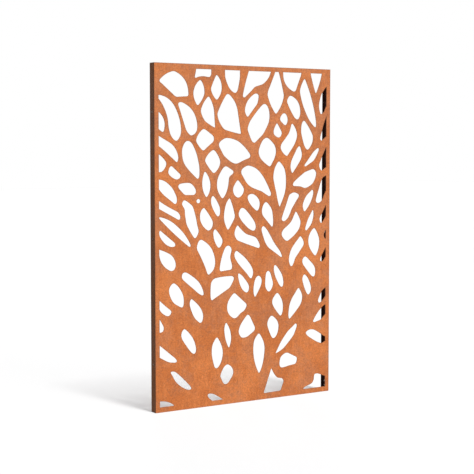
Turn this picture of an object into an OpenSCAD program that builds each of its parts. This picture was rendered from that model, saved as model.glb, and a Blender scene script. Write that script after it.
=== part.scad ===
// Laser cut metal screen.
// A face sheet with a leaf pattern cut through it is held by weld studs and flange nuts
// on a frame of four folded channels, which meet in mitred corners over bolted cleats.
// X runs across the screen, Y through it with the face towards -Y, and Z up from the
// floor. The origin is the middle of the foot. All sizes are in millimetres.

/* [Screen] */
// Width over the two stiles
width = 1100; // [800:10:1500]
// Height from the floor to the top
height = 1800; // [1200:10:2400]
// Depth from the face to the back of the lips
depth = 50; // [44:1:80]
// Solid border around the leaf pattern
border = 25; // [22:1:60]
// Extra width of the border along the foot
foot_extra = 3; // [0:1:20]

/* [Sheet metal] */
// Thickness of the face sheet and of the channels
sheet = 2; // [1.5:0.5:3]
// Inside radius of every fold
fold_inside = 1; // [0.5:0.5:3]
// Distance that the channel's front flange stays back from the pattern
flange_setback = 5; // [4:1:6]
// Width of a stile's lip at the back
stile_lip = 18; // [12:1:26]
// Width of a rail's lip at the back
rail_lip = 12; // [8:1:26]
// Opening between two channels at a mitred corner
mitre_gap = 0.4; // [0.2:0.1:1]

/* [Corner cleats] */
// Thickness of a cleat
cleat_thickness = 3; // [2:0.5:5]
// Width of a cleat through the screen
cleat_width = 28; // [24:1:30]
// Length of each leg of a cleat
cleat_leg = 70; // [60:1:100]
// Distance from a cleat's heel to its first stud
first_cleat_stud = 28; // [24:1:32]
// Distance between the two studs of one leg
cleat_stud_pitch = 26; // [20:1:28]

/* [Studs and nuts] */
// Thread diameter of the weld studs
stud_thread = 5; // [4:1:6]
// Length of stud that stands out of its nut
stud_tail = 2; // [1:0.5:4]
// Distance from a corner of the screen to the first face stud
first_face_stud = 100; // [90:5:150]
// Largest distance between two face studs
face_stud_pitch = 300; // [200:10:400]

/* [Side fixings] */
// Thread diameter of the side fixing inserts
insert_thread = 8; // [6:2:10]
// Length of an insert into the channel
insert_length = 16; // [12:1:18]
// Distance from either end of a stile to its outer inserts
insert_end = 250; // [200:10:400]

/* [Drainage] */
// Diameter of the holes that drain the bottom rail
drain_hole = 8; // [5:1:12]
// Distance from a corner of the screen to the first drain hole
drain_end = 190; // [150:10:300]

/* [Hidden] */
$fn = 32;

// Planes through the screen, from the face to the back.
face = -depth / 2;
seat = face + sheet;
rear = depth / 2;

// Channel section.
fold_outside = fold_inside + sheet;
flange = border - flange_setback;
flange_middle = (fold_outside + flange) / 2;

// Studs and nuts, in proportion to their thread.
thread_radius = stud_thread / 2;
thread_gap = 0.1;
collar_radius = thread_radius + 0.8;
collar_height = 0.8;
stud_hole_radius = collar_radius + 0.3;
nut_height = stud_thread;
nut_flats = stud_thread + 3;
nut_flange_radius = stud_thread * 1.15;
nut_flange_height = 1.2;

// Side fixing inserts.
insert_bore_radius = insert_thread * 0.425;
insert_radius = insert_thread / 2 + 1.5;
insert_bulge = 2;
insert_bulge_height = 4;
insert_heights = [insert_end, height / 2, height - insert_end];

// Face stud places along one side of a given length, measured from its middle.
function stud_places(side) =
    let (reach = side / 2 - first_face_stud, gaps = ceil(2 * reach / face_stud_pitch))
    [for (i = [0 : gaps]) -reach + 2 * reach * i / gaps];
stile_places = stud_places(height);
rail_places = stud_places(width);

// The leaf pattern is drawn on a sheet of this size and stretched to the screen's size.
drawn_width = 1100;
drawn_height = 1800;
// Distance between two points along the side of an opening.
point_pitch = 7;
// The corners of an opening are rounded in a few passes. Each pass moves the points by one
// share of their way to the middle between their neighbours, and then back by a smaller
// share, so that the opening keeps its size.
rounding_passes = 3;
inward_share = 0.6;
outward_share = 0.5;

// Each opening is a ring of corners [x, z, bow], measured from the drawn sheet's bottom
// left corner as seen from the front. The bow is how far the middle of the side that
// starts at this corner stands out from a straight line, or in if it is negative.
// Openings that reach past the border are cut off straight by it.
top_openings = [
    [[28, 1708, 10], [116, 1760, 28], [199, 1634, 0], [125, 1629, 0]],
    [[20, 1637, 13], [114, 1587, 9], [156, 1460, 8], [128, 1402, 5], [92, 1439, 3],
        [79, 1510, -5], [40, 1600, 0], [20, 1625, 0]],
    [[20, 1555, 22], [52, 1447, 3], [15, 1475, 0]],
    [[137, 1595, 3], [158, 1603, 26], [252, 1480, 13], [213, 1431, 2], [185, 1460, 0]],
    [[236, 1727, 0], [248, 1785, 0], [336, 1785, 0], [336, 1750, 3], [322, 1734, -8]],
    [[271, 1721, 9], [294, 1645, 4], [254, 1586, 6], [228, 1650, 10]],
    [[368, 1750, 9], [400, 1680, 7], [369, 1617, 6], [333, 1675, 2]],
    [[320, 1637, 6], [353, 1560, 0], [359, 1472, 1], [300, 1505, 4], [272, 1560, 7]],
    [[419, 1790, 0], [420, 1740, 2], [444, 1684, 3], [480, 1656, 4], [498, 1674, 1],
        [512, 1740, 0], [512, 1790, 0]],
    [[430, 1650, 4], [372, 1545, 8], [415, 1465, 2], [519, 1441, 0], [500, 1550, 12],
        [445, 1649, 1]],
    [[573, 1790, 3], [529, 1643, 2], [537, 1632, 2], [606, 1693, 0], [652, 1706, 12],
        [711, 1790, 0]],
    [[607, 1657, 2], [630, 1651, 2], [621, 1602, 0], [560, 1530, 3], [542, 1564, 4],
        [561, 1619, 3]],
    [[666, 1603, 2], [646, 1591, 2], [576, 1511, 2], [559, 1467, 2], [589, 1401, 2],
        [604, 1394, 0], [656, 1439, 2], [694, 1504, 3], [698, 1559, 3], [681, 1597, 3]],
    [[742, 1790, 0], [700, 1695, 2], [685, 1654, 7], [740, 1549, 9], [792, 1650, 2],
        [753, 1790, 0]],
    [[785, 1790, 0], [788, 1745, 4], [815, 1697, 2], [855, 1673, 2], [869, 1677, 0],
        [905, 1765, 0], [907, 1790, 0]],
    [[928, 1746, 3], [977, 1630, 3], [1006, 1505, 2], [1002, 1478, 5], [944, 1545, 6],
        [896, 1675, 5]],
    [[964, 1790, 3], [1003, 1664, 5], [1046, 1790, 0]],
    [[1085, 1715, 2], [1040, 1662, 2], [1024, 1600, 3], [1038, 1551, 0],
        [1060, 1566, -3], [1085, 1610, 0]],
    [[833, 1652, 4], [811, 1618, 3], [862, 1532, 2], [883, 1521, 5], [900, 1561, 21]],
    [[796, 1557, 6], [817, 1518, 4], [801, 1488, 1], [766, 1518, 8]]];

upper_openings = [
    [[747, 1503, 1], [780, 1450, 4], [762, 1423, 5], [725, 1445, 3], [734, 1482, 0]],
    [[847, 1501, 7], [880, 1435, 4], [852, 1372, 0], [813, 1322, 6], [770, 1368, 4],
        [790, 1405, 0], [825, 1447, -1], [840, 1492, 2]],
    [[925, 1519, 3], [975, 1452, 4], [985, 1415, 4], [965, 1372, 3], [948, 1356, 3],
        [925, 1385, 1], [906, 1450, 2], [910, 1500, 2]],
    [[1085, 1565, 1], [1070, 1530, 2], [1046, 1460, 1], [1033, 1420, 2], [1040, 1405, 0],
        [1085, 1438, 0]],
    [[20, 1432, 0], [96, 1391, 8], [139, 1321, 2], [131, 1292, 0], [61, 1351, 0],
        [15, 1385, 0]],
    [[18, 1340, 3], [64, 1300, 5], [64, 1272, 3], [38, 1244, 2], [15, 1250, 0]],
    [[98, 1276, 1], [154, 1227, 5], [130, 1205, 5], [80, 1236, 3], [87, 1267, 3]],
    [[15, 1206, 7], [79, 1184, 5], [120, 1131, 4], [129, 1092, 4], [120, 1077, 0],
        [55, 1125, 1], [12, 1172, 0]],
    [[193, 1405, 5], [225, 1383, 4], [257, 1300, 3], [264, 1235, 4], [254, 1205, 2],
        [185, 1270, 6], [161, 1335, 5], [172, 1388, 3]],
    [[290, 1468, 2], [350, 1428, 3], [348, 1400, -1], [288, 1352, 5], [243, 1406, 8]],
    [[350, 1359, 6], [391, 1295, 9], [350, 1234, 4], [296, 1302, 8]],
    [[296, 1247, 8], [330, 1175, 7], [306, 1108, 6], [280, 1175, 5]],
    [[143, 1181, 3], [208, 1186, 6], [244, 1142, 2], [232, 1124, 0], [176, 1125, 1],
        [138, 1163, 3]],
    [[257, 1103, 2], [267, 1098, 2], [269, 1088, 2], [258, 1079, 2], [247, 1085, 2],
        [245, 1096, 2]],
    [[384, 1395, 3], [425, 1420, 5], [505, 1401, 5], [578, 1330, 3], [570, 1314, -2],
        [500, 1286, 3], [462, 1291, 2], [410, 1330, 0], [381, 1380, 1]],
    [[685, 1423, 4], [735, 1378, 2], [741, 1342, 4], [715, 1285, 1], [703, 1266, 3],
        [645, 1308, 4], [629, 1350, 3], [655, 1408, 3]],
    [[425, 1272, 2], [474, 1243, 2], [465, 1229, 0], [446, 1217, 0], [440, 1175, 2],
        [425, 1128, 2], [403, 1100, 3], [372, 1150, 4], [375, 1210, 2], [408, 1263, 1]],
    [[499, 1199, 2], [537, 1152, 3], [528, 1120, 2], [502, 1103, 3], [475, 1122, 3],
        [469, 1155, 3]],
    [[521, 1251, 3], [560, 1274, 4], [620, 1254, 4], [672, 1195, 2], [712, 1117, 2],
        [700, 1106, 1], [650, 1135, 1], [585, 1158, 4], [544, 1195, 0], [519, 1234, 0]],
    [[896, 1380, 2], [912, 1335, 3], [900, 1297, 1], [848, 1228, 2], [836, 1265, 3],
        [849, 1312, 0], [879, 1365, 1]],
    [[1020, 1369, 1], [985, 1342, 0], [926, 1270, 1], [936, 1265, 0], [990, 1297, 3],
        [1027, 1360, 1]],
    [[760, 1297, 3], [797, 1255, 3], [807, 1190, 4], [795, 1110, 1], [765, 1046, 2],
        [745, 1120, 1], [724, 1205, 3], [735, 1262, 2]],
    [[988, 1252, 1], [930, 1234, 1], [860, 1183, 2], [851, 1162, 1], [900, 1158, 0],
        [933, 1147, 3], [985, 1172, 4], [1009, 1228, 4]],
    [[1085, 1392, 0], [1048, 1322, 0], [1026, 1272, 2], [1043, 1240, 0], [1085, 1268, 0]],
    [[1085, 1218, 1], [1053, 1204, 1], [1037, 1172, 0], [1015, 1110, 1], [1005, 1072, 2],
        [1022, 1062, 2], [1048, 1077, -2], [1085, 1145, 0]]];

middle_openings = [
    [[345, 1119, 4], [387, 1055, 3], [385, 1012, 2], [372, 1007, 2], [340, 1058, 2],
        [333, 1095, 3]],
    [[172, 1099, 3], [223, 1065, 3], [250, 965, 1], [259, 932, 3], [236, 895, 2],
        [198, 950, 4], [181, 1000, 2], [176, 1048, 0], [158, 1078, 2]],
    [[15, 1104, -3], [130, 1040, 5], [150, 1006, 2], [141, 996, 0], [15, 1062, 0]],
    [[448, 1104, 4], [481, 1003, 3], [437, 933, 5], [412, 1000, 3], [425, 1072, 2]],
    [[562, 1114, 3], [592, 1122, 4], [630, 1094, 3], [637, 1061, 3], [622, 1029, 3],
        [579, 1065, 2], [560, 1099, 1]],
    [[859, 1125, 3], [895, 1110, 2], [880, 1085, 0], [845, 1035, 1], [825, 993, 3],
        [794, 968, 3], [778, 980, 1], [803, 1045, 0], [828, 1111, 2]],
    [[984, 1140, 1], [990, 1120, 3], [965, 1058, 2], [930, 1016, 3], [918, 1055, 3],
        [945, 1108, 0]],
    [[23, 1015, 9], [130, 964, 8], [213, 857, 1], [205, 852, 5], [25, 1008, 1]],
    [[28, 948, 0], [114, 880, 2], [120, 862, 1], [98, 858, 5], [50, 886, 3],
        [25, 925, 1]],
    [[15, 850, 3], [94, 817, 5], [121, 770, 4], [112, 740, 3], [93, 734, 3],
        [53, 760, 6], [25, 820, 2]],
    [[290, 1057, 2], [337, 995, 5], [342, 957, 4], [318, 934, 4], [278, 969, 4],
        [266, 1015, 6]],
    [[358, 943, 2], [400, 891, 5], [398, 858, 3], [379, 840, 3], [352, 885, 2],
        [347, 925, 2]],
    [[272, 890, 4], [330, 848, 5], [358, 775, 4], [347, 725, 1], [317, 700, 2],
        [303, 729, -2], [248, 838, 3], [253, 870, 4]],
    [[519, 1048, 3], [544, 1042, 2], [599, 980, 4], [612, 939, 3], [598, 923, 4],
        [548, 954, 4], [503, 1011, 4]],
    [[497, 959, -3], [555, 906, 1], [612, 888, 4], [640, 838, 1], [630, 829, 1],
        [495, 877, 3], [477, 912, 4]],
    [[680, 1077, 4], [717, 1030, 2], [724, 960, 1], [718, 938, 0], [660, 1000, 3],
        [651, 1030, 3], [664, 1068, 2]],
    [[660, 949, 3], [695, 911, 1], [722, 867, -1], [765, 812, 2], [784, 773, 1],
        [776, 773, 0], [693, 830, 4], [661, 888, 1], [648, 930, 3]],
    [[438, 852, 4], [461, 830, 0], [451, 790, -1], [463, 745, 2], [459, 722, 0],
        [388, 716, 0], [385, 730, 1], [398, 790, 1], [418, 838, 3]],
    [[490, 822, 1], [540, 785, 2], [583, 735, 3], [596, 697, 2], [583, 665, 2],
        [560, 690, 0], [510, 742, 1], [482, 780, 3], [478, 808, 2]],
    [[873, 1022, 3], [905, 964, 6], [881, 907, 3], [816, 859, 7], [778, 900, 3],
        [798, 930, -2], [845, 969, 1]],
    [[987, 1029, 1], [992, 1000, 2], [978, 950, 2], [942, 911, 0], [934, 920, 1],
        [955, 978, 0], [975, 1010, 0]],
    [[997, 927, 5], [1031, 860, 4], [1022, 797, 2], [1004, 769, 3], [965, 818, 3],
        [957, 865, 4], [980, 913, 1]],
    [[1085, 1068, 0], [1048, 1005, 1], [1031, 975, 3], [1045, 948, 0], [1062, 970, 0],
        [1085, 1002, 0]],
    [[1082, 920, 4], [1062, 885, 3], [1070, 862, 0], [1085, 862, 0]],
    [[1085, 828, 0], [1048, 772, 1], [1036, 745, 1], [1045, 734, 0], [1058, 740, 0],
        [1085, 775, 0]],
    [[903, 885, 4], [928, 843, 3], [909, 813, 1], [871, 766, 0], [859, 735, 1],
        [844, 716, 4], [827, 756, 4], [847, 820, 1], [886, 866, 0]],
    [[936, 771, 2], [967, 745, 2], [1000, 709, 3], [1004, 673, 2], [997, 653, 2],
        [976, 663, 1], [922, 726, 2], [917, 750, 3]]];

lower_openings = [
    [[734, 735, 3], [765, 703, 3], [788, 660, 2], [791, 623, 2], [784, 607, 1],
        [767, 619, 1], [740, 666, 2], [729, 708, 2]],
    [[167, 722, 2], [192, 717, 1], [244, 681, 4], [280, 630, 3], [287, 594, 0],
        [273, 597, 2], [226, 633, 1], [162, 686, 3], [157, 706, 2]],
    [[108, 671, 5], [154, 624, 4], [168, 575, 3], [161, 538, 2], [109, 566, 4],
        [82, 620, 5], [90, 656, 2]],
    [[22, 586, 0], [59, 554, 0], [96, 524, 1], [87, 505, 2], [73, 500, 2],
        [42, 517, 2], [24, 540, 2]],
    [[22, 491, 1], [49, 446, 3], [43, 420, 1], [15, 419, 0]],
    [[212, 582, 2], [259, 541, 3], [283, 497, 3], [279, 459, 3], [268, 449, 2],
        [232, 480, 3], [203, 550, 3]],
    [[353, 680, 3], [462, 687, 2], [476, 675, 2], [447, 625, 0], [335, 563, 2],
        [329, 600, 1], [332, 655, 3]],
    [[503, 701, 0], [525, 687, 1], [560, 645, 3], [570, 615, 3], [556, 591, 2],
        [527, 611, 3], [505, 662, 1], [500, 690, 1]],
    [[633, 680, 3], [651, 657, 3], [640, 615, 1], [608, 563, 2], [598, 590, 2],
        [602, 640, 2], [616, 673, 2]],
    [[690, 704, 3], [708, 687, 0], [723, 640, 4], [715, 605, 2], [697, 587, 2],
        [677, 608, 2], [673, 640, 1], [677, 685, 3]],
    [[475, 596, 3], [438, 552, 4], [433, 503, 2], [451, 474, 2], [480, 458, 3],
        [511, 480, -1], [539, 496, 1], [556, 524, 2], [547, 537, 0], [496, 581, 1]],
    [[425, 442, 2], [449, 400, 2], [457, 350, 2], [443, 301, 1], [426, 336, 2],
        [414, 395, 4]],
    [[560, 474, 3], [578, 458, 0], [609, 398, 3], [598, 378, 0], [560, 354, 3],
        [521, 352, 3], [503, 385, 4], [528, 438, 1]],
    [[753, 580, 4], [786, 528, 3], [787, 473, 2], [774, 449, 2], [730, 501, 2],
        [718, 530, 3], [729, 558, 2]],
    [[715, 457, 3], [752, 425, 4], [760, 385, 3], [746, 343, 2], [725, 329, 2],
        [708, 352, 1], [688, 402, 3], [692, 432, 3]],
    [[931, 672, 3], [960, 640, 2], [977, 595, 3], [970, 565, 2], [955, 555, 2],
        [930, 600, 1], [917, 645, 3]],
    [[892, 599, 4], [918, 549, 4], [902, 499, 2], [831, 427, 1], [825, 450, 1],
        [832, 505, 4], [868, 568, 1]],
    [[1085, 592, 1], [1052, 574, 1], [1024, 520, 2], [1032, 504, 1], [1050, 512, -1],
        [1085, 548, 0]],
    [[1085, 494, 0], [1065, 490, 1], [1027, 456, 2], [989, 402, 1], [996, 397, 0],
        [1045, 409, -1], [1085, 446, 0]]];

foot_openings = [
    [[170, 427, 3], [214, 384, 3], [237, 335, 2], [240, 302, 2], [231, 288, 2],
        [207, 304, 1], [163, 364, 3], [152, 396, 4]],
    [[876, 403, 2], [883, 388, 1], [860, 336, 1], [800, 275, 3], [740, 245, 0],
        [775, 305, 1], [822, 362, 0]],
    [[940, 344, 2], [968, 359, 2], [1000, 355, 2], [1060, 318, 0], [1085, 307, 0],
        [1085, 291, 0], [1052, 275, 0], [1020, 286, 1], [955, 325, 1]],
    [[15, 359, 0], [115, 277, 2], [128, 257, 1], [121, 254, 1], [80, 259, 1],
        [40, 280, 1], [15, 295, 0]],
    [[87, 208, 2], [117, 204, 2], [194, 132, 2], [214, 105, 1], [194, 102, 3],
        [139, 133, 4], [100, 185, 1]],
    [[15, 59, 0], [42, 58, 2], [92, 42, 1], [116, 20, 0], [15, 20, 0]],
    [[310, 67, 2], [345, 64, 2], [415, 20, 0], [358, 12, 0], [330, 35, 0],
        [312, 52, 0]],
    [[368, 367, 3], [397, 318, 2], [405, 278, 2], [394, 231, 3], [368, 198, 2],
        [354, 205, 1], [338, 265, 3], [340, 325, 3]],
    [[433, 215, 4], [466, 188, 3], [468, 155, 1], [436, 112, 2], [412, 110, 1],
        [388, 155, 2], [410, 200, 2]],
    [[633, 367, 3], [664, 315, 3], [669, 262, 2], [655, 188, 2], [634, 145, 2],
        [607, 208, 2], [597, 270, 2], [602, 328, 3]],
    [[714, 168, 0], [664, 33, 0], [775, 36, 0], [795, 85, 2], [787, 102, 1],
        [754, 109, -4]],
    [[822, 242, 0], [884, 211, 2], [876, 177, 1], [840, 172, 0], [792, 163, 0],
        [773, 166, 2], [767, 191, 1], [775, 223, 1], [802, 241, 1]],
    [[1001, 105, 1], [1025, 106, 1], [1085, 82, 0], [1085, 10, 0], [925, 10, 0],
        [930, 37, 0], [980, 52, -3], [998, 75, 0]]];

openings = concat(top_openings, upper_openings, middle_openings, lower_openings,
    foot_openings);

// The sum of a list of numbers.
function sum(list) = list * [for (value = list) 1];

// Which way round a ring is written: 1 if anticlockwise seen from the front, else -1.
function way_round(ring) =
    sign(sum([for (i = [0 : len(ring) - 1])
        let (a = ring[i], b = ring[(i + 1) % len(ring)]) a[0] * b[1] - b[0] * a[1]]));

// Points along the side of an opening from corner a towards corner b: a straight line
// with a parabola added to it that is as high as the bow halfway along.
function side_points(a, b, way) =
    let (run = [b[0] - a[0], b[1] - a[1]], outwards = way * [run[1], -run[0]] / norm(run),
        steps = max(1, round(norm(run) / point_pitch)))
    [for (i = [0 : steps - 1])
        let (t = i / steps)
        [a[0], a[1]] + t * run + 4 * t * (1 - t) * a[2] * outwards];

function ring_points(ring) =
    let (way = way_round(ring))
    [for (i = [0 : len(ring) - 1])
        each side_points(ring[i], ring[(i + 1) % len(ring)], way)];

// Moves each point by a share of its way to the middle between its two neighbours, or away
// from it if the share is negative.
function drawn_in(points, share) =
    let (n = len(points))
    [for (i = [0 : n - 1])
        (1 - share) * points[i]
            + share * (points[(i + n - 1) % n] + points[(i + 1) % n]) / 2];

function rounded(points, passes = rounding_passes) =
    passes == 0 ? points
        : rounded(drawn_in(drawn_in(points, inward_share), -outward_share), passes - 1);

// Corner points of a quarter turn about a centre, from one angle to another.
function quarter(centre, radius, start, end) =
    [for (i = [0 : 4])
        let (angle = start + (end - start) * i / 4)
        centre + radius * [cos(angle), sin(angle)]];

// Section of a channel with a given width of lip: u inwards from the outside of its web,
// v through the screen.
function channel_section(lip) = concat(
    [[flange, seat]],
    quarter([fold_outside, seat + fold_outside], fold_outside, 270, 180),
    quarter([fold_outside, rear - fold_outside], fold_outside, 180, 90),
    [[lip, rear], [lip, rear - sheet]],
    quarter([fold_outside, rear - fold_outside], fold_inside, 90, 180),
    quarter([fold_outside, seat + fold_outside], fold_inside, 180, 270),
    [[flange, seat + sheet]]);

// Stands a flat shape drawn in X and Z up on the plane y, reaching back by a thickness.
module upright(y, thickness) {
    translate([0, y + thickness, 0]) rotate([90, 0, 0]) linear_extrude(thickness) children();
}

// Puts its children at the left and at the right, or at the top and at the bottom.
module at_side(right) {
    if (right) mirror([1, 0, 0]) children();
    else children();
}
module at_end(top) {
    if (top) translate([0, 0, height]) mirror([0, 0, 1]) children();
    else children();
}

module face_sheet() {
    color([0.72, 0.42, 0.24])
    upright(face, sheet)
    difference() {
        translate([-width / 2, 0]) square([width, height]);
        intersection() {
            translate([border - width / 2, border + foot_extra])
                square([width - 2 * border, height - 2 * border - foot_extra]);
            translate([-width / 2, 0]) scale([width / drawn_width, height / drawn_height])
                union() {
                    for (ring = openings) polygon(rounded(ring_points(ring)));
                }
        }
    }
}

// Wedge that cuts a stile's end to its mitre. It is drawn for the bottom left corner.
module stile_mitre() {
    reach = 2 * border;
    upright(face, depth)
    translate([-width / 2, 0])
        polygon([[-mitre_gap, -mitre_gap], [reach, reach + mitre_gap / 2],
            [reach, -reach], [-mitre_gap, -reach]]);
}

// Wedge that cuts a rail's end to its mitre. It is drawn for the bottom left corner.
module rail_mitre() {
    reach = 2 * border;
    upright(face, depth)
    translate([-width / 2, 0])
        polygon([[-mitre_gap, -mitre_gap], [reach + mitre_gap / 2, reach],
            [-reach, reach], [-reach, -mitre_gap]]);
}

module stile() {
    difference() {
        translate([-width / 2, 0, 0]) linear_extrude(height)
            polygon(channel_section(stile_lip));
        for (top = [false, true]) at_end(top) stile_mitre();
        for (place = stile_places)
            translate([flange_middle - width / 2, seat, height / 2 + place]) stud_hole();
        for (z = insert_heights)
            translate([-width / 2 - 1, 0, z]) rotate([0, 90, 0])
                cylinder(h = sheet + 2, r = insert_radius);
    }
}

module rail() {
    difference() {
        translate([-width / 2, 0, 0]) rotate([90, 0, 90]) linear_extrude(width)
            polygon([for (p = channel_section(rail_lip)) [p[1], p[0]]]);
        for (right = [false, true]) at_side(right) rail_mitre();
        for (place = rail_places) translate([place, seat, flange_middle]) stud_hole();
    }
}

// Hole through a front flange for a face stud, along Y.
module stud_hole() {
    translate([0, -1, 0]) rotate([-90, 0, 0])
        cylinder(h = sheet + 2, r = stud_hole_radius);
}

module left_stile() { color([0.40, 0.25, 0.18]) stile(); }
module right_stile() { color([0.40, 0.25, 0.18]) at_side(true) stile(); }
module top_rail() { color([0.42, 0.26, 0.18]) at_end(true) rail(); }
module bottom_rail() {
    color([0.42, 0.26, 0.18])
    difference() {
        rail();
        for (share = [-1, -1 / 3, 1 / 3, 1])
            translate([share * (width / 2 - drain_end), 0, -1])
                cylinder(h = sheet + 2, r = drain_hole / 2);
    }
}

// Weld stud along +Z, welded on at z = 0 by its collar, and clamping a given thickness.
module stud(clamped) {
    tip = 0.6;
    length = clamped + nut_height + stud_tail;
    cylinder(h = collar_height, r = collar_radius);
    translate([0, 0, collar_height])
        cylinder(h = length - collar_height - tip, r = thread_radius);
    translate([0, 0, length - tip])
        cylinder(h = tip, r1 = thread_radius, r2 = thread_radius - tip);
}

// Flange nut along +Z, seated at z = 0.
module nut() {
    difference() {
        union() {
            cylinder(h = nut_flange_height, r = nut_flange_radius);
            translate([0, 0, nut_flange_height])
                cylinder(h = nut_height - nut_flange_height,
                    r = nut_flats / 2 / cos(30), $fn = 6);
        }
        translate([0, 0, -1]) cylinder(h = nut_height + 2, r = thread_radius + thread_gap);
    }
}

// Places along a stile's or rail's front flange, with +Z pointing backwards from the
// plane y.
module along_stile(y) {
    for (place = stile_places)
        translate([flange_middle - width / 2, y, height / 2 + place]) rotate([-90, 0, 0])
            children();
}
module along_rail(y) {
    for (place = rail_places)
        translate([place, y, flange_middle]) rotate([-90, 0, 0]) children();
}

module left_face_studs() { color([0.62, 0.60, 0.56]) along_stile(seat) stud(sheet); }
module right_face_studs() {
    color([0.62, 0.60, 0.56]) at_side(true) along_stile(seat) stud(sheet);
}
module top_face_studs() {
    color([0.62, 0.60, 0.56]) at_end(true) along_rail(seat) stud(sheet);
}
module bottom_face_studs() { color([0.62, 0.60, 0.56]) along_rail(seat) stud(sheet); }
module left_face_nuts() { color([0.66, 0.65, 0.62]) along_stile(seat + sheet) nut(); }
module right_face_nuts() {
    color([0.66, 0.65, 0.62]) at_side(true) along_stile(seat + sheet) nut();
}
module top_face_nuts() {
    color([0.66, 0.65, 0.62]) at_end(true) along_rail(seat + sheet) nut();
}
module bottom_face_nuts() { color([0.66, 0.65, 0.62]) along_rail(seat + sheet) nut(); }

// Places on both legs of the bottom left cleat, with +Z pointing away from the web that
// the leg lies on, at a given height above that web's inside face.
module on_cleat(lift) {
    for (i = [0, 1]) {
        along = sheet + first_cleat_stud + i * cleat_stud_pitch;
        translate([sheet + lift - width / 2, 0, along]) rotate([0, 90, 0]) children();
        translate([along - width / 2, 0, sheet + lift]) children();
    }
}

// Cleat of the bottom left corner: an angle folded from plate, lying on the insides of
// the two webs.
module cleat() {
    heel = fold_inside + cleat_thickness;
    difference() {
        translate([sheet - width / 2, 0, sheet]) upright(-cleat_width / 2, cleat_width)
            polygon(concat(
                quarter([heel, heel], heel, 180, 270),
                [[cleat_leg, 0], [cleat_leg, cleat_thickness]],
                quarter([heel, heel], fold_inside, 270, 180),
                [[cleat_thickness, cleat_leg], [0, cleat_leg]]));
        on_cleat(-1) cylinder(h = cleat_thickness + 2, r = stud_hole_radius);
    }
}

module cleat_stud_group() { on_cleat(0) stud(cleat_thickness); }
module cleat_nut_group() { on_cleat(cleat_thickness) nut(); }

module top_left_cleat() { color([0.42, 0.26, 0.18]) at_end(true) cleat(); }
module top_right_cleat() {
    color([0.42, 0.26, 0.18]) at_end(true) at_side(true) cleat();
}
module bottom_left_cleat() { color([0.42, 0.26, 0.18]) cleat(); }
module bottom_right_cleat() { color([0.42, 0.26, 0.18]) at_side(true) cleat(); }
module top_left_cleat_studs() {
    color([0.62, 0.60, 0.56]) at_end(true) cleat_stud_group();
}
module top_right_cleat_studs() {
    color([0.62, 0.60, 0.56]) at_end(true) at_side(true) cleat_stud_group();
}
module bottom_left_cleat_studs() { color([0.62, 0.60, 0.56]) cleat_stud_group(); }
module bottom_right_cleat_studs() {
    color([0.62, 0.60, 0.56]) at_side(true) cleat_stud_group();
}
module top_left_cleat_nuts() {
    color([0.66, 0.65, 0.62]) at_end(true) cleat_nut_group();
}
module top_right_cleat_nuts() {
    color([0.66, 0.65, 0.62]) at_end(true) at_side(true) cleat_nut_group();
}
module bottom_left_cleat_nuts() { color([0.66, 0.65, 0.62]) cleat_nut_group(); }
module bottom_right_cleat_nuts() {
    color([0.66, 0.65, 0.62]) at_side(true) cleat_nut_group();
}

// Threaded inserts in a stile's web. Each is flush with the outside of the web, and its
// bulge is drawn up against the inside.
module inserts() {
    for (z = insert_heights)
        translate([-width / 2, 0, z]) rotate([0, 90, 0])
            difference() {
                union() {
                    cylinder(h = insert_length, r = insert_radius);
                    translate([0, 0, sheet])
                        cylinder(h = insert_bulge_height, r1 = insert_radius + insert_bulge,
                            r2 = insert_radius);
                }
                translate([0, 0, -1]) cylinder(h = insert_length + 2,
                    r = insert_bore_radius);
            }
}

module left_inserts() { color([0.70, 0.68, 0.60]) inserts(); }
module right_inserts() { color([0.70, 0.68, 0.60]) at_side(true) inserts(); }

face_sheet();
left_stile();
right_stile();
top_rail();
bottom_rail();
top_left_cleat();
top_right_cleat();
bottom_left_cleat();
bottom_right_cleat();
left_face_studs();
right_face_studs();
top_face_studs();
bottom_face_studs();
left_face_nuts();
right_face_nuts();
top_face_nuts();
bottom_face_nuts();
top_left_cleat_studs();
top_right_cleat_studs();
bottom_left_cleat_studs();
bottom_right_cleat_studs();
top_left_cleat_nuts();
top_right_cleat_nuts();
bottom_left_cleat_nuts();
bottom_right_cleat_nuts();
left_inserts();
right_inserts();
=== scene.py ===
"""Laser cut metal screen, 1100 x 50 x 1800 mm: a weathering steel sheet with a leaf pattern
cut through it, on a mitred frame of folded channels. Metres, +Z up, the cut face looks
towards -Y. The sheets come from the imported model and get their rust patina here; studs, nuts
and inserts are made anew with their threads."""

import math

import bpy
import numpy as np
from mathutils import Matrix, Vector


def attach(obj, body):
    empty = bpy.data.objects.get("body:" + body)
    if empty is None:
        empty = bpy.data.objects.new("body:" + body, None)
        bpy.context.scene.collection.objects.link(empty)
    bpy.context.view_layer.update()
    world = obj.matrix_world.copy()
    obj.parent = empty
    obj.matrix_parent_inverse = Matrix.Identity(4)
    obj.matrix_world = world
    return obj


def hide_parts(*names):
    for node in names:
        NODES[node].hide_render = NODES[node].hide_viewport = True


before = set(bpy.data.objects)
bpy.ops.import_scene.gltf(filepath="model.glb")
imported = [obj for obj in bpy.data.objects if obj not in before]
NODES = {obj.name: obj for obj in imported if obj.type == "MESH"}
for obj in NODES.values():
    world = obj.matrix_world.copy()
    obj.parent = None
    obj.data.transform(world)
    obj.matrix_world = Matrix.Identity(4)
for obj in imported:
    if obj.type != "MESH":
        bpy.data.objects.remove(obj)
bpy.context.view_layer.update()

# Sizes in millimetres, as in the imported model.
WIDTH, DEPTH, HEIGHT = 1100, 50, 1800
# The back of the face sheet, on which its studs stand, is SEAT from the middle of the depth.
SHEET = 2
CLEAT = 3
SEAT = SHEET - DEPTH / 2
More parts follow.
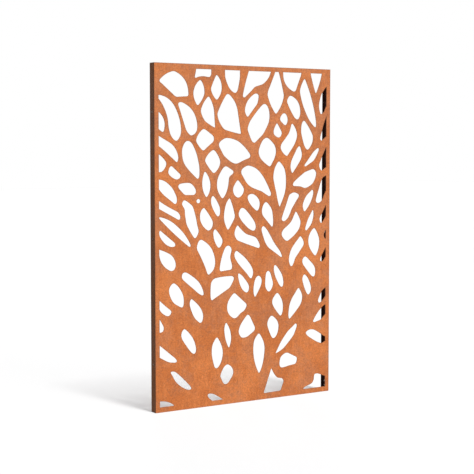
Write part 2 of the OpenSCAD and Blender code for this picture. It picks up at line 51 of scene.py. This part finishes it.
# Studs stand this far in from the sides, along the middle of the channels' front flanges.
FLANGE_MIDDLE = 11.5
STILE_PLACES = np.linspace(100, 1700, 7)
RAIL_PLACES = np.linspace(-450, 450, 4)
CLEAT_PLACES = np.array([30, 56])
INSERT_PLACES = np.array([250, 900, 1550])
NUT_HEIGHT = 5
STUD_TAIL = 2
# A burnt cut edge fades out this far from the edge.
EDGE_REACH = 6


# ---------------------------------------------------------------- stage, camera and lamps

CAMERA_PLACE = (-3.3915, -5.4259, 1.3735)
CAMERA_TURN = (85.6845, -0.0031, -31.6895)
CAMERA_LENS, CAMERA_SENSOR = 90.757, 36

# Azimuth from the front of the screen to its right, elevation, strength and angular size.
# The seven small suns stand for one tall narrow window, whose shadow is sharp at the side
# and pales with distance. The last two are wide soft screens, in front and behind.
WINDOW_AZIMUTH, WINDOW_SIZE = 8, 6
LAMPS = [(WINDOW_AZIMUTH, elevation, strength, WINDOW_SIZE) for elevation, strength in (
    (62, 0.97), (66, 1.04), (70, 0.71), (74, 0.53), (78, 0.72), (82, 1.05), (86, 0.16))]
LAMPS += [(22, 22, 1.28, 35), (150, 12, 2.0, 25)]
ROOM_LIGHT = 0.07


def add(tree, kind, values=(), **settings):
    """One shader node. Settings are the node's own properties. Values give its inputs, each
    a number, a colour, an output to link, or a node whose first output in use is linked."""
    made = tree.nodes.new("ShaderNode" + kind)
    for name, value in settings.items():
        setattr(made, name, value)
    for key, value in dict(values).items():
        if isinstance(value, bpy.types.Node):
            value = next(output for output in value.outputs if output.enabled)
        if isinstance(value, bpy.types.NodeSocket):
            tree.links.new(value, made.inputs[key])
        else:
            made.inputs[key].default_value = value
    return made


def blank(name):
    """A material with only its output node: the material, its tree and the output."""
    material = bpy.data.materials.new(name)
    material.use_nodes = True
    material.node_tree.nodes.clear()
    return material, material.node_tree, add(material.node_tree, "OutputMaterial")


def linear(code, alpha=1.0):
    """sRGB hex colour to linear: c / 12.92 up to 0.04045, else ((c + 0.055) / 1.055)^2.4."""
    parts = [int(code[i:i + 2], 16) / 255 for i in (1, 3, 5)]
    return [c / 12.92 if c <= 0.04045 else ((c + 0.055) / 1.055) ** 2.4
            for c in parts] + [alpha]


def seen_directly(tree):
    """1 for a ray from the eye, a mirror or a glass, and 0 for the light between surfaces."""
    path = add(tree, "LightPath")
    total = add(tree, "Math", {0: path.outputs["Is Camera Ray"],
                               1: path.outputs["Is Glossy Ray"]}, operation="MAXIMUM")
    return add(tree, "Math", {0: total.outputs[0], 1: path.outputs["Is Transmission Ray"]},
               operation="MAXIMUM").outputs[0]


def make_camera():
    data = bpy.data.cameras.new("camera")
    data.lens, data.sensor_width, data.clip_end = CAMERA_LENS, CAMERA_SENSOR, 200
    camera = bpy.data.objects.new("camera", data)
    camera.location = CAMERA_PLACE
    camera.rotation_euler = [math.radians(a) for a in CAMERA_TURN]
    bpy.context.scene.collection.objects.link(camera)
    bpy.context.scene.camera = camera


def make_lamps():
    for i, (azimuth, elevation, strength, angle) in enumerate(LAMPS):
        data = bpy.data.lights.new(f"lamp_{i}", "SUN")
        data.energy, data.angle = strength, math.radians(angle)
        lamp = bpy.data.objects.new(data.name, data)
        a, e = math.radians(azimuth), math.radians(elevation)
        towards = Vector((math.sin(a) * math.cos(e), -math.cos(a) * math.cos(e),
                          math.sin(e)))
        lamp.rotation_euler = towards.to_track_quat("Z", "Y").to_euler()
        bpy.context.scene.collection.objects.link(lamp)


def make_room():
    """White all round for the eye and for reflections, and a low, slightly cool light on
    surfaces."""
    world = bpy.data.worlds.new("room")
    world.use_nodes = True
    tree = world.node_tree
    tree.nodes.clear()
    light = add(tree, "Background", {"Color": (0.92, 1.0, 1.16, 1), "Strength": ROOM_LIGHT})
    white = add(tree, "Background", {"Color": (1, 1, 1, 1), "Strength": 1.0})
    mixed = add(tree, "MixShader", {0: seen_directly(tree), 1: light.outputs[0],
                                    2: white.outputs[0]})
    add(tree, "OutputWorld", {"Surface": mixed.outputs[0]})
    bpy.context.scene.world = world


def make_floor():
    """White studio floor. The eye sees a matt share that takes the shadow and a share of
    even white; surfaces above see it darker, so that it throws little light upwards."""
    half = 30.0
    mesh = bpy.data.meshes.new("floor")
    mesh.from_pydata([(-half, -half, 0), (half, -half, 0), (half, half, 0), (-half, half, 0)],
                     [], [(0, 1, 2, 3)])
    floor = bpy.data.objects.new("floor", mesh)
    bpy.context.scene.collection.objects.link(floor)
    material, tree, output = blank("white studio floor")
    matt = add(tree, "BsdfDiffuse", {"Color": (0.32, 0.32, 0.32, 1)})
    white = add(tree, "Emission", {"Color": (1, 1, 1, 1), "Strength": 0.41})
    both = add(tree, "AddShader", {0: matt.outputs[0], 1: white.outputs[0]})
    dull = add(tree, "BsdfDiffuse", {"Color": (0.08, 0.08, 0.08, 1)})
    mixed = add(tree, "MixShader", {0: seen_directly(tree), 1: dull.outputs[0],
                                    2: both.outputs[0]})
    tree.links.new(mixed.outputs[0], output.inputs["Surface"])
    mesh.materials.append(material)


# ------------------------------------------------------------------------------ materials

def mottle(tree, place, size, detail, roughness, tall=1.0, shift=0.0):
    """Fractal noise round 0.5 whose widest patches are size mm wide and tall times as high,
    halved detail times. The shift keeps patterns of one size apart."""
    spread = add(tree, "Mapping", {"Vector": place, "Location": (shift, shift, shift),
                                   "Scale": (1000 / size, 1000 / size, 1000 / size / tall)})
    return add(tree, "TexNoise", {"Vector": spread, "Scale": 1.0, "Detail": detail,
                                  "Roughness": roughness})


def weathering_steel(name, rich, washed, deep, dull, painted_shade_colour):
    """Weathering steel, rolled, laser cut, folded and left to rust outdoors. Iron oxide is a
    matt, slightly porous skin: to the eye an orange and brown mottle with hardly any shine,
    paler where rain washes it, with faint runs down it and a few dark freckles. A cut edge,
    which was hot, rusts darker. The inside of a channel is darkened with painted shade."""
    material, tree, output = blank(name)
    coordinates = add(tree, "TexCoord")
    place = coordinates.outputs["Object"]
    at = add(tree, "SeparateXYZ", {"Vector": place})

    # Washed patches 240 mm wide break up down to 4 mm. The top is washed most.
    wash = mottle(tree, place, 240, 6, 0.88, shift=15.25)
    wash = add(tree, "Math", {0: at.outputs["Z"], 1: 0.045, 2: wash},
               operation="MULTIPLY_ADD")
    wash = add(tree, "MapRange", {"Value": wash, "From Min": 0.45, "From Max": 0.65},
               interpolation_type="SMOOTHSTEP")
    # Light and dark patches 320 mm wide, down to 5 mm, with rain runs 12 mm wide.
    cloud = mottle(tree, place, 320, 6, 0.88, shift=5.14)
    runs = mottle(tree, place, 12, 2, 0.6, tall=9, shift=3.1)
    tone = add(tree, "Mix", {0: 0.20, 2: cloud, 3: runs})
    tone = add(tree, "Math", {0: at.outputs["Z"], 1: 0.020, 2: tone},
               operation="MULTIPLY_ADD")
    tone = add(tree, "MapRange", {"Value": tone, "From Min": 0.43, "From Max": 0.60},
               interpolation_type="SMOOTHSTEP")
    dark = add(tree, "Mix", {0: wash, 6: linear(deep), 7: linear(dull)}, data_type="RGBA")
    light = add(tree, "Mix", {0: wash, 6: linear(rich), 7: linear(washed)},
                data_type="RGBA")
    colour = add(tree, "Mix", {0: tone, 6: dark, 7: light}, data_type="RGBA")

    # Oxide grain is under 1 mm. It is drawn at 6 mm, or it would not show.
    grain = mottle(tree, place, 6, 2, 0.7, shift=1.7)
    grain = add(tree, "MapRange", {"Value": grain, "From Min": 0.2, "From Max": 0.8,
                                   "To Min": 0.68, "To Max": 1.32})
    colour = add(tree, "VectorMath", {0: colour, "Scale": grain}, operation="SCALE")

    # Freckles of thick oxide, 1 to 3 mm wide.
    freckle = mottle(tree, place, 9, 2, 0.6, shift=5.2)
    freckle = add(tree, "MapRange", {"Value": freckle, "From Min": 0.62, "From Max": 0.76,
                                     "To Max": 0.6})
    colour = add(tree, "Mix", {0: freckle, 6: colour, 7: linear("#7C4526")},
                 data_type="RGBA")

    # Cut edges: where a rounded normal leans away from the true one, near an edge.
    rounded = add(tree, "Bevel", {"Radius": EDGE_REACH / 1000}, samples=4)
    true = add(tree, "NewGeometry")
    lean = add(tree, "VectorMath", {0: rounded, 1: true.outputs["Normal"]},
               operation="DOT_PRODUCT")
    burnt = add(tree, "MapRange", {"Value": lean.outputs["Value"], "From Min": 0.9995,
                                   "From Max": 0.93, "To Min": 0.0, "To Max": 0.75})
    colour = add(tree, "Mix", {0: burnt, 6: colour, 7: linear("#6B4630")}, data_type="RGBA")

    # Painted shade inside the channels: more than 1 to 1.6 mm inside the screen's outer skin
    # on every side.
    across = add(tree, "Math", {0: at.outputs["X"]}, operation="ABSOLUTE")
    from_side = add(tree, "Math", {0: WIDTH / 2000, 1: across}, operation="SUBTRACT")
    from_top = add(tree, "Math", {0: HEIGHT / 1000, 1: at.outputs["Z"]},
                   operation="SUBTRACT")
    from_back = add(tree, "Math", {0: DEPTH / 2000, 1: at.outputs["Y"]},
                    operation="SUBTRACT")
    from_seat = add(tree, "Math", {0: at.outputs["Y"], 1: -SEAT / 1000}, operation="ADD")
    inside = add(tree, "Math", {0: from_side, 1: from_top}, operation="MINIMUM")
    for other in (from_back, from_seat, at.outputs["Z"]):
        inside = add(tree, "Math", {0: inside, 1: other}, operation="MINIMUM")
    painted_shade = add(tree, "MapRange", {"Value": inside, "From Min": 0.0010,
                                       "From Max": 0.0016})
    # Painted shade: there the colour is halved and pulled towards a near black brown, standing
    # in for the shadow inside the channels.
    with_painted_shade = add(tree, "Mix", {0: 0.5, 6: linear(painted_shade_colour), 7: colour}, data_type="RGBA",
                 blend_type="MULTIPLY")
    colour = add(tree, "Mix", {0: painted_shade, 6: colour, 7: with_painted_shade}, data_type="RGBA")

    rough = add(tree, "MapRange", {"Value": cloud, "From Min": 0.35, "From Max": 0.65,
                                   "To Min": 0.78, "To Max": 0.92})
    relief = add(tree, "Math", {0: freckle, 1: grain}, operation="ADD")
    bump = add(tree, "Bump", {"Height": relief, "Distance": 0.0004, "Strength": 0.6})
    shader = add(tree, "BsdfPrincipled", {"Base Color": colour, "Roughness": rough,
                                          "Specular IOR Level": 0.65, "Normal": bump})
    tree.links.new(shader.outputs[0], output.inputs["Surface"])
    return material


def stainless_steel(name, bright, stained):
    """Stainless steel, cold headed, with rolled threads: a pale grey metal with a satin
    gloss, rougher in small patches. Water off the patina leaves thin brown stains on it, and
    covers an insert's rim, which lies bare in the side of the screen."""
    material, tree, output = blank(name)
    coordinates = add(tree, "TexCoord")
    place = coordinates.outputs["Object"]
    at = add(tree, "SeparateXYZ", {"Vector": place})

    # Stains 5 mm wide break up down to 1 mm. The rims lie within 0.4 mm of the side.
    spots = mottle(tree, place, 5, 2, 0.7)
    spots = add(tree, "MapRange", {"Value": spots, "From Min": 0.48, "From Max": 0.70,
                                   "To Max": 0.6})
    across = add(tree, "Math", {0: at.outputs["X"]}, operation="ABSOLUTE")
    rim = add(tree, "MapRange", {"Value": across, "From Min": WIDTH / 2000 - 0.0006,
                                 "From Max": WIDTH / 2000 - 0.0004, "To Max": 0.95})
    stain = add(tree, "Math", {0: spots, 1: rim}, operation="MAXIMUM")
    colour = add(tree, "Mix", {0: stain, 6: linear(bright), 7: linear(stained)},
                 data_type="RGBA")
    metal = add(tree, "Math", {0: 1.0, 1: stain}, operation="SUBTRACT")

    # Die marks are some 0.1 mm wide. They are drawn at 1 mm.
    marks = mottle(tree, place, 1, 1, 0.5, shift=4.9)
    rough = add(tree, "MapRange", {"Value": marks, "From Min": 0.3, "From Max": 0.7,
                                   "To Min": 0.26, "To Max": 0.44})
    rough = add(tree, "Mix", {0: stain, 2: rough, 3: 0.85})
    bump = add(tree, "Bump", {"Height": marks, "Distance": 0.00004, "Strength": 0.5})
    shader = add(tree, "BsdfPrincipled", {"Base Color": colour, "Metallic": metal,
                                          "Roughness": rough, "Normal": bump})
    tree.links.new(shader.outputs[0], output.inputs["Surface"])
    return material


# ------------------------------------------------------------------------ fasteners

def thread(height, turn, pitch, crest, root):
    """Radius of a right-hand screw thread: a triangle wave of the phase
    height / pitch - turn / 2 pi, cut off flat over an eighth of the pitch at the crest and
    over a quarter of it at the root."""
    phase = (height / pitch - turn / (2 * np.pi)) % 1
    wave = 1 - np.abs(2 * phase - 1)
    return root + (crest - root) * np.clip((wave - 0.25) / 0.625, 0, 1)


def turned(radius, height):
    """Points of a form round the Z axis, from two grids of rows by sides: (r cos t, r sin t,
    h), where the turn t goes once round in equal steps from side to side."""
    turn = turns(radius.shape[1])
    return np.stack([radius * np.cos(turn), radius * np.sin(turn),
                     np.broadcast_to(height, radius.shape)], -1)


def turns(sides):
    return np.arange(sides) * 2 * np.pi / sides


def stud_form(length):
    """Threaded weld stud: the collar of its weld, then an M5 thread that ends in a cone."""
    sides, pitch, crest, root = 20, 0.8, 2.5, 2.02
    tip, rows_per_turn = root - 0.15, 8
    collar_height = np.array([0.0, 0.45, 0.7, 0.8])
    collar_radius = np.array([3.3, 3.25, 3.0, 2.7])
    collar = collar_height[-1]
    steps = int(round((length - collar) / pitch * rows_per_turn))
    height = np.linspace(collar, length, steps + 1)[:, None]
    shank = thread(height, turns(sides), pitch, crest, root)
    shank = np.minimum(shank, tip + (length - height))
    radius = np.concatenate([np.repeat(collar_radius[:, None], sides, 1), shank])
    return turned(radius, np.concatenate([collar_height[:, None], height]))


def nut_form():
    """Hexagon flange nut, as a ring of rows: up its outside, over its top and down its
    bore. The hexagon's radius is 4 / cos(t - nearest flat), trimmed by a 30 degree cone."""
    sides, flats, cone_top = 48, 8.0, 3.75
    turn = turns(sides)
    hexagon = flats / 2 / np.cos((turn + np.pi / 6) % (np.pi / 3) - np.pi / 6)
    flange = [(5.55, 0.0), (5.75, 0.15), (5.75, 0.55), (5.5, 0.8), (4.95, 1.1)]
    wall = np.array([1.3, 2.6, 4.3, 4.45, 4.55, 4.65, 4.75, 4.85, 4.93, 5.0])
    inside = [(3.0, 5.0), (2.6, 4.6), (2.6, 2.5), (2.6, 0.4), (2.9, 0.0)]
    cone = cone_top + (NUT_HEIGHT - wall) * math.tan(math.radians(60))
    rows = [np.full(sides, r) for r, _ in flange]
    rows += list(np.minimum(hexagon, cone[:, None]))
    rows += [np.full(sides, r) for r, _ in inside]
    height = np.concatenate([[h for _, h in flange], wall, [h for _, h in inside]])
    return turned(np.array(rows), height[:, None])


def insert_form():
    """Threaded insert, as a ring of rows: in along its outside, with the bulge that grips
    the web and the knurled barrel behind it, round its end, and out along its M8 bore."""
    sides, pitch, crest, root = 64, 1.25, 4.0, 3.4
    outside, knurl_depth = 5.5, 0.3
    head = [(5.3, 0.0), (5.5, 0.2), (5.5, 2.0), (7.3, 2.05), (7.5, 2.3), (7.35, 2.9),
            (6.7, 3.9), (6.0, 5.0), (5.55, 6.0), (5.5, 6.6)]
    barrel = np.array([6.9, 9.9, 12.9, 15.4])
    end = [(5.45, 15.6), (5.2, 16.0), (4.2, 16.0)]
    bore = np.linspace(15.6, 0.6, 97)[:, None]
    mouth = [(4.15, 0.0)]
    knurl = outside - knurl_depth * (np.arange(sides) % 2)
    rows = [np.full(sides, r) for r, _ in head]
    rows += [knurl] * len(barrel)
    rows += [np.full(sides, r) for r, _ in end]
    rows += list(thread(bore, turns(sides), pitch, crest, root))
    rows += [np.full(sides, r) for r, _ in mouth]
    height = np.concatenate([[h for _, h in head], barrel, [h for _, h in end], bore[:, 0],
                             [h for _, h in mouth]])
    return turned(np.array(rows), height[:, None])


def placed(form, origins, axis):
    """The form once at each origin o, its Z turned to the axis a: o + x u + y v + z a, with
    u across the axis and v = a x u."""
    axis = np.array(axis, float)
    across = np.roll(np.abs(axis), -1)
    basis = np.stack([across, np.cross(axis, across), axis])
    return np.asarray(origins, float)[:, None, None, :] + form @ basis


def fastener(node, points, ring, material):
    """One mesh of equal forms that replaces a node. points[k, j, i] is side i of row j of
    form k. The rows join into a ring, or they end in a pole at either end."""
    forms, rows, sides, _ = points.shape
    cell = np.arange(rows * sides).reshape(rows, sides)
    vertices = points.reshape(forms, -1, 3)
    fans = np.zeros((0, 3), int)
    if ring:
        cell = np.vstack([cell, cell[:1]])
    else:
        vertices = np.concatenate([vertices, points[:, [0, -1]].mean(2)], 1)
        first, last = np.full(sides, rows * sides), np.full(sides, rows * sides + 1)
        fans = np.concatenate([
            np.stack([first, np.roll(cell[0], -1), cell[0]], -1),
            np.stack([last, cell[-1], np.roll(cell[-1], -1)], -1)])
    after = np.roll(cell, -1, 1)
    quads = np.stack([cell[:-1], after[:-1], after[1:], cell[1:]], -1).reshape(-1, 4)
    step = vertices.shape[1] * np.arange(forms)[:, None, None]
    faces = (quads + step).reshape(-1, 4).tolist() + (fans + step).reshape(-1, 3).tolist()
    mesh = bpy.data.meshes.new(node + "_threaded")
    mesh.from_pydata((vertices.reshape(-1, 3) / 1000).tolist(), [], faces)
    mesh.shade_smooth()
    mesh.set_sharp_from_angle(angle=math.radians(35))
    mesh.materials.append(material)
    piece = bpy.data.objects.new(mesh.name, mesh)
    bpy.context.scene.collection.objects.link(piece)
    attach(piece, "root")
    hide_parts(node)


def make_fasteners(material):
    face_stud = stud_form(SHEET + NUT_HEIGHT + STUD_TAIL)
    cleat_stud = stud_form(CLEAT + NUT_HEIGHT + STUD_TAIL)
    nut, insert = nut_form(), insert_form()
    back = (0, 1, 0)
    for side, x in (("left", -WIDTH / 2), ("right", WIDTH / 2)):
        inwards = -math.copysign(1, x)
        at = [(x + inwards * FLANGE_MIDDLE, SEAT, z) for z in STILE_PLACES]
        fastener(f"{side}_face_studs", placed(face_stud, at, back), False, material)
        fastener(f"{side}_face_nuts", placed(nut, np.add(at, (0, SHEET, 0)), back), True,
                 material)
        fastener(f"{side}_inserts", placed(insert, [(x, 0, z) for z in INSERT_PLACES],
                                           (inwards, 0, 0)), True, material)
    for end, z in (("bottom", 0), ("top", HEIGHT)):
        upwards = 1 if z == 0 else -1
        at = [(x, SEAT, z + upwards * FLANGE_MIDDLE) for x in RAIL_PLACES]
        fastener(f"{end}_face_studs", placed(face_stud, at, back), False, material)
        fastener(f"{end}_face_nuts", placed(nut, np.add(at, (0, SHEET, 0)), back), True,
                 material)
        for side, x in (("left", -WIDTH / 2), ("right", WIDTH / 2)):
            inwards = -math.copysign(1, x)
            for part, form, lift, ring in (("studs", cleat_stud, 0, False),
                                           ("nuts", nut, CLEAT, True)):
                upright = [(x + inwards * (SHEET + lift), 0, z + upwards * along)
                           for along in CLEAT_PLACES]
                level = [(x + inwards * along, 0, z + upwards * (SHEET + lift))
                         for along in CLEAT_PLACES]
                fastener(f"{end}_{side}_cleat_{part}", np.concatenate([
                    placed(form, upright, (inwards, 0, 0)),
                    placed(form, level, (0, 0, upwards))]), ring, material)


# --------------------------------------------------------------------------- assembly

bpy.context.scene.view_settings.view_transform = "Standard"
make_camera()
make_lamps()
make_room()
make_floor()

face_patina = weathering_steel("weathering steel, rain washed", rich="#DC8040",
                               washed="#CF7F4D", deep="#C66C2C", dull="#BA6D3E",
                               painted_shade_colour="#421D0D")
# The frame has the same rust, made paler and greyer than the face: the grey is a painted
# whitish sheen for its sides in shade.
frame_patina_and_sheen = weathering_steel("weathering steel, sheltered", rich="#CB8558",
                                washed="#C18664", deep="#B77348", dull="#AD7354",
                                painted_shade_colour="#421D0D")
stainless = stainless_steel("stainless steel", bright="#BDB9B1", stained="#7A4A30")

for name, node in NODES.items():
    if name == "face_sheet":
        node.material_slots[0].material = face_patina
    elif name.endswith(("stile", "rail", "cleat")):
        node.material_slots[0].material = frame_patina_and_sheen
make_fasteners(stainless)
